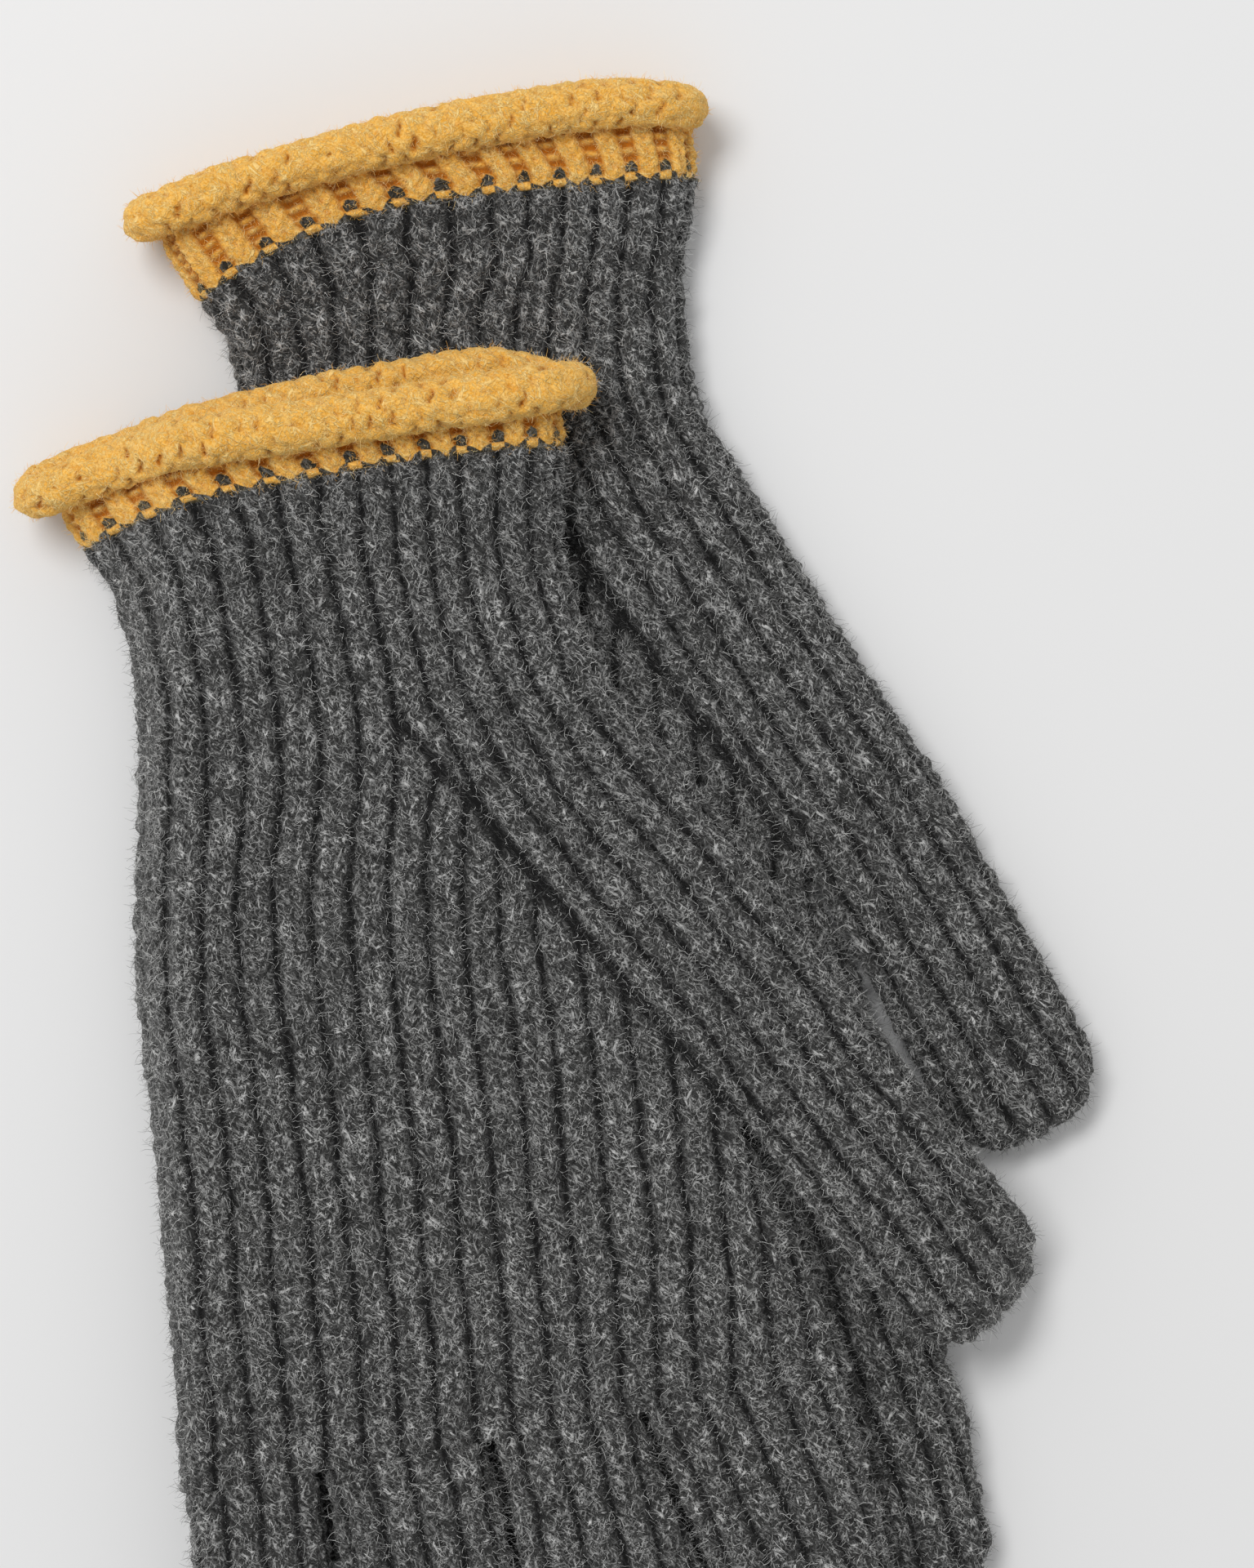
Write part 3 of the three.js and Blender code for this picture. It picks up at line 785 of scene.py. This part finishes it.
def make_finger(glove, name):
    knuckle, fanned, length = FINGERS[name]
    width = fanned[1] - fanned[0] - FINGER_GAP
    slide = (fanned[0] - knuckle[0]) / FAN_RUN
    bulge = glove.bulge if name == "index_finger" else 0.0

    def edges(t):
        near = np.minimum(t, FAN_RUN) / FAN_RUN
        left = lerp(knuckle[0], fanned[0], t / FAN_RUN) + FINGER_GAP / 2
        right = lerp(knuckle[1], fanned[1], near) + np.maximum(t - FAN_RUN, 0) * slide
        right = right + bulge * (1 - smoothstep(t, 48, 66))
        return left, right - FINGER_GAP / 2

    def edge(t, narrowing):
        left, right = edges(t)
        s = KNUCKLES + t
        return (np.stack([left + narrowing, s], axis=1),
                np.stack([right - narrowing, s], axis=1))

    fold0 = 1.0 if name == "little_finger" else 0.2
    fold1 = 1.0 if name == "index_finger" else 0.2
    rows, straight, t = digit_rows(edge, width, length, fold0, fold1, (slide, 1.0))
    narrowing = (rows.start[:, 0] - edges(t)[0])[:, None]
    from_left = knuckle[0] - along(LITTLE_SIDE, KNUCKLES)

    def knit(label, width, x, s, z):
        rib = palm_rib(label + narrowing + from_left, s)
        height = charcoal_height(rib, s / COURSE, x, s, z, glove.seed)
        return height, 0 * height

    glove.digit(name, rows, straight, rounded(width * 1.2 / GRAIN), knit)


def make_glove(side, origin):
    glove = Glove(side, origin)
    make_roll(glove)
    make_cuff(glove)
    make_palm(glove)
    make_gusset(glove)
    make_thumb(glove)
    for name in FINGERS:
        make_finger(glove, name)
    return glove


# ---- The two gloves in the frame -------------------------------------------------------------
def origins():
    """Both gloves' origins, in millimetres, from where the left glove's band lies."""
    low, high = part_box("left_contrast_band")
    left = ((low[0] + high[0]) / 2 / MM, low[1] / MM + BAND_END)
    return {"left": left, "right": (left[0] + RIGHT_PLACE[0], left[1] + RIGHT_PLACE[1])}


gloves = {side: make_glove(side, place) for side, place in origins().items()}

HAND_PARTS = ("rolled_edge", "contrast_band", "wrist", "palm", "thumb_gusset")
CONTRAST_PARTS = ("rolled_edge", "contrast_band")
BEND_START = 1.0  # how far past its base a digit's line in attach starts; nothing bends the digit
BEND_RUN = 24.0  # and how long that line is


def attach(glove):
    """Puts each hand piece on its hand's body. For a digit it works out a line where it leaves
    the hand, which is not used, and bakes the digit's place into its mesh.
    """
    hand = f"{glove.side}_hand"
    for name, piece in glove.pieces.items():
        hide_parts(f"{glove.side}_{name}")
        if name in HAND_PARTS:
            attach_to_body(piece, hand)
            continue
        if name == "thumb":
            line = [thumb_place(glove, THUMB_WIDTH / 2, t)
                    for t in (BEND_START, BEND_START + BEND_RUN)]
        else:
            middle = sum(FINGERS[name][0]) / 2
            line = [(middle, KNUCKLES + t) for t in (BEND_START, BEND_START + BEND_RUN)]
        height = FLAT_HEIGHT / 2
        ends = [glove.place(np.array([x]), np.array([s]), np.array([height]))[0] * MM
                for x, s in line]
        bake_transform(piece)


for glove in gloves.values():
    attach(glove)


# ---- Materials -------------------------------------------------------------------------------
class Nodes:
    """A small helper for building a material's nodes."""

    def __init__(self, name):
        self.material = bpy.data.materials.new(name)
        self.material.use_nodes = True
        self.tree = self.material.node_tree
        self.tree.nodes.clear()

    def add(self, kind, inputs=None, **settings):
        node = self.tree.nodes.new(kind)
        for key, value in settings.items():
            setattr(node, key, value)
        for key, value in (inputs or {}).items():
            if isinstance(value, bpy.types.NodeSocket):
                self.tree.links.new(value, node.inputs[key])
            else:
                node.inputs[key].default_value = value
        return node

    def math(self, operation, a, b):
        return self.add("ShaderNodeMath", {0: a, 1: b}, operation=operation).outputs[0]

    def spread(self, value, low, high, to_low=0.0, to_high=1.0):
        node = self.add("ShaderNodeMapRange", {"Value": value, "From Min": low,
                                               "From Max": high, "To Min": to_low,
                                               "To Max": to_high})
        return node.outputs["Result"]

    def mix(self, factor, a, b):
        node = self.add("ShaderNodeMix", {"Factor": factor}, data_type="RGBA")
        for key, value in (("A", a), ("B", b)):
            socket = [i for i in node.inputs if i.name == key and i.type == "RGBA"][0]
            if isinstance(value, bpy.types.NodeSocket):
                self.tree.links.new(value, socket)
            else:
                socket.default_value = (*value, 1.0)
        return [o for o in node.outputs if o.type == "RGBA"][0]

    def noise(self, vector, scale, detail, distortion):
        node = self.add("ShaderNodeTexNoise", {"Vector": vector, "Scale": scale,
                                               "Detail": detail, "Distortion": distortion})
        return node.outputs["Fac"]

    def finish(self, surface):
        """Ends the material with this surface."""
        self.add("ShaderNodeOutputMaterial", {"Surface": surface.outputs[0]})
        return self.material

    def strokes(self, vector, angle, spacing, curl, low, high):
        """Short curling fibres lying about one direction: a noise drawn out along it."""
        turned = self.add("ShaderNodeVectorRotate", {"Vector": vector, "Angle": angle},
                          rotation_type="Z_AXIS").outputs[0]
        drawn = self.add("ShaderNodeVectorMath", {0: turned, 1: (1.0, 0.16, 0.5)},
                         operation="MULTIPLY").outputs[0]
        value = self.noise(drawn, 1 / spacing, 0.5, curl)
        return self.spread(value, low, high)


def wool(name, shades, sheen, fuzz, full, ground=None):
    """Brushed marled wool. shades are its hollows' painted shade and its dark, middle and
    light fibre colours, fuzz how clearly its fibres show, full the height from which the painted
    shade in the hollows is gone, and ground the yarn beyond the contrast yarn."""
    n = Nodes(name)
    rest = n.add("ShaderNodeAttribute", attribute_name="rest").outputs["Vector"]
    cavity = n.add("ShaderNodeAttribute", attribute_name="cavity").outputs["Fac"]
    light = None
    for angle, spacing, curl in ((0.5, 0.40, 1.0), (-0.7, 0.45, 1.3), (1.5, 0.50, 1.6),
                                 (-0.1, 0.36, 0.8), (2.3, 0.42, 1.2)):
        layer = n.strokes(rest, angle, spacing, curl, 0.61, 0.72)
        light = n.math("MAXIMUM", light, layer) if light else layer
    dark = n.math("MAXIMUM", n.strokes(rest, 0.9, 0.6, 1.2, 0.60, 0.70),
                  n.strokes(rest, -1.0, 0.7, 1.4, 0.60, 0.70))
    patch = n.noise(rest, 0.45, 3.0, 0.4)
    light = n.math("MULTIPLY", light, n.spread(patch, 0.36, 0.60, 0.35, 1.0))
    grain = n.noise(rest, 2.6, 2.0, 0.4)

    def coloured(tones, full):
        hollow, low, middle, high = tones
        base = n.mix(n.spread(grain, 0.35, 0.62), low, middle)
        base = n.mix(n.math("MULTIPLY", light, fuzz), base, high)
        base = n.mix(n.math("MULTIPLY", dark, 0.7 * fuzz), base, low)
        # Painted shade: where the knit lies low, in the grooves between ribs and stitches, the
        # colour goes to the hollow shade.
        return n.mix(n.spread(cavity, 0.2 * full, full, 1.0, 0.0), base, hollow)

    colour = coloured(shades, full)
    if ground:
        contrast = n.add("ShaderNodeAttribute", attribute_name="contrast").outputs["Fac"]
        colour = n.mix(n.spread(contrast, 0.3, 0.7), coloured(*ground), colour)
    relief = n.math("SUBTRACT", n.math("ADD", light, n.math("MULTIPLY", grain, 0.8)),
                    n.math("MULTIPLY", dark, 0.5))
    bump = n.add("ShaderNodeBump", {"Strength": 0.9, "Distance": 0.0002, "Height": relief})
    shader = n.add("ShaderNodeBsdfPrincipled",
                   {"Base Color": colour, "Roughness": 0.92, "Normal": bump.outputs[0]})
    shader.inputs["Specular IOR Level"].default_value = 0.15
    shader.inputs["Sheen Weight"].default_value = sheen
    shader.inputs["Sheen Roughness"].default_value = 0.5
    shader.inputs["Sheen Tint"].default_value = (*shades[3], 1.0)
    return n.finish(shader)


# The first of each yarn's shades is painted shade for the grooves between stitches; the other
# three are its own fibre colours.
CHARCOAL_SHADES = ((0.005, 0.005, 0.005), (0.018, 0.018, 0.017), (0.068, 0.068, 0.066),
                   (0.58, 0.58, 0.57))
MUSTARD_SHADES = ((0.48, 0.145, 0.006), (0.80, 0.37, 0.040), (0.97, 0.57, 0.14),
                  (1.00, 0.80, 0.36))
# Knit heights from which the grooves' painted shade is gone.
CHARCOAL_SHADE_TOP = 0.80
MUSTARD_SHADE_TOP = 0.52
charcoal = wool("charcoal_wool", CHARCOAL_SHADES, 0.35, 1.0, CHARCOAL_SHADE_TOP)
mustard = wool("mustard_wool", MUSTARD_SHADES, 0.5, 0.6, MUSTARD_SHADE_TOP,
               (CHARCOAL_SHADES, CHARCOAL_SHADE_TOP))


def fibre(name, shade, highlight):
    """The loose fibres: each one lighter or darker than the next."""
    n = Nodes(name)
    chance = n.math("POWER", n.add("ShaderNodeHairInfo").outputs["Random"], 1.8)
    colour = n.mix(chance, shade, highlight)
    shader = n.add("ShaderNodeBsdfPrincipled", {"Base Color": colour, "Roughness": 0.8})
    shader.inputs["Specular IOR Level"].default_value = 0.2
    return n.finish(shader)


OUTSIDE_SHARE = 0.6  # of a piece's whole surface
FIBRE_RADIUS = 0.062


def brush(piece, density, length, seed):
    """Covers the outside in short curling fibres, so many to a square millimetre."""
    speed = length * MM / 4
    mesh = piece.data
    cavity = np.zeros(len(mesh.vertices))
    mesh.attributes["cavity"].data.foreach_get("value", cavity)
    outside = np.nonzero(cavity > 0.05)[0].tolist()
    group = piece.vertex_groups.new(name="outside")
    group.add(outside, 1.0, "REPLACE")
    area = sum(p.area for p in mesh.polygons) / MM**2 * OUTSIDE_SHARE
    modifier = piece.modifiers.new("fibres", "PARTICLE_SYSTEM")
    system = modifier.particle_system
    system.seed = seed
    system.vertex_group_density = "outside"
    settings = system.settings
    settings.type = "HAIR"
    settings.count = int(area * density)
    settings.use_advanced_hair = True
    settings.emit_from = "FACE"
    settings.distribution = "RAND"
    settings.hair_length = length * MM
    settings.hair_step = 5
    settings.render_step = 3
    settings.normal_factor = 0.2 * speed
    settings.factor_random = 0.6 * speed
    settings.brownian_factor = 1.4 * speed
    settings.root_radius = 1.0
    settings.tip_radius = 0.35
    settings.radius_scale = FIBRE_RADIUS * MM
    settings.material = len(mesh.materials)


charcoal_fibre = fibre("charcoal_fibre", (0.035, 0.035, 0.034), (0.92, 0.92, 0.90))
mustard_fibre = fibre("mustard_fibre", (0.85, 0.45, 0.09), (1.0, 0.86, 0.48))

CHARCOAL_YARN = (charcoal, charcoal_fibre, 1.9, 1.9)
MUSTARD_YARN = (mustard, mustard_fibre, 1.8, 1.2)

for glove in gloves.values():
    for number, (name, piece) in enumerate(glove.pieces.items()):
        yarn, loose, density, length = MUSTARD_YARN if name in CONTRAST_PARTS else CHARCOAL_YARN
        piece.data.materials.append(yarn)
        piece.data.materials.append(loose)
        brush(piece, density, length, glove.seed + number)

# ---- Floor, light and camera -----------------------------------------------------------------
FLOOR_HALF = 3.0
LENS = 120.0
SENSOR = 36.0
VIEW_HEIGHT = 0.2526  # height of the framed field, on the level of the gloves' upper faces
VIEW_LEVEL = 0.017
VIEW_CENTRE = (39.5, 63.8)  # middle of the view, in the left glove's own axes
VIEW_TURN = math.radians(-10.5)


def make_floor():
    mesh = bpy.data.meshes.new("floor")
    h = FLOOR_HALF
    mesh.from_pydata([(-h, -h, 0), (h, -h, 0), (h, h, 0), (-h, h, 0)], [], [(0, 1, 2, 3)])
    floor = bpy.data.objects.new("floor", mesh)
    bpy.context.scene.collection.objects.link(floor)
    n = Nodes("pale_floor")
    shader = n.add("ShaderNodeBsdfPrincipled", {"Base Color": (0.82, 0.82, 0.82, 1),
                                                "Roughness": 1.0})
    shader.inputs["Specular IOR Level"].default_value = 0.0
    mesh.materials.append(n.finish(shader))


def make_light(name, place, size, energy):
    light = bpy.data.lights.new(name, "AREA")
    light.shape = "DISK"
    light.size = size
    light.energy = energy
    lamp = bpy.data.objects.new(name, light)
    lamp.location = place
    aim = -np.array(place) / np.linalg.norm(place)
    lamp.rotation_euler = (math.acos(-aim[2]), 0, math.atan2(aim[0], -aim[1]))
    bpy.context.scene.collection.objects.link(lamp)


def make_camera():
    camera = bpy.data.objects.new("camera", bpy.data.cameras.new("camera"))
    camera.data.lens = LENS
    camera.data.sensor_width = SENSOR
    camera.data.clip_end = 20
    x, y, _ = gloves["left"].place(np.array([VIEW_CENTRE[0]]), np.array([VIEW_CENTRE[1]]),
                                   np.array([0.0]))[0] * MM
    camera.location = (x, y, VIEW_LEVEL + LENS * VIEW_HEIGHT / SENSOR)
    camera.rotation_euler = (0, 0, VIEW_TURN)
    bpy.context.scene.collection.objects.link(camera)
    bpy.context.scene.camera = camera


make_floor()
make_light("overhead", place=(-0.9, 1.35, 2.9), size=1.8, energy=98)
make_camera()
world = bpy.data.worlds.new("studio")
world.use_nodes = True
world.node_tree.nodes["Background"].inputs["Color"].default_value = (1, 1, 1, 1)
world.node_tree.nodes["Background"].inputs["Strength"].default_value = 0.54
bpy.context.scene.world = world
bpy.context.scene.view_settings.view_transform = "Standard"
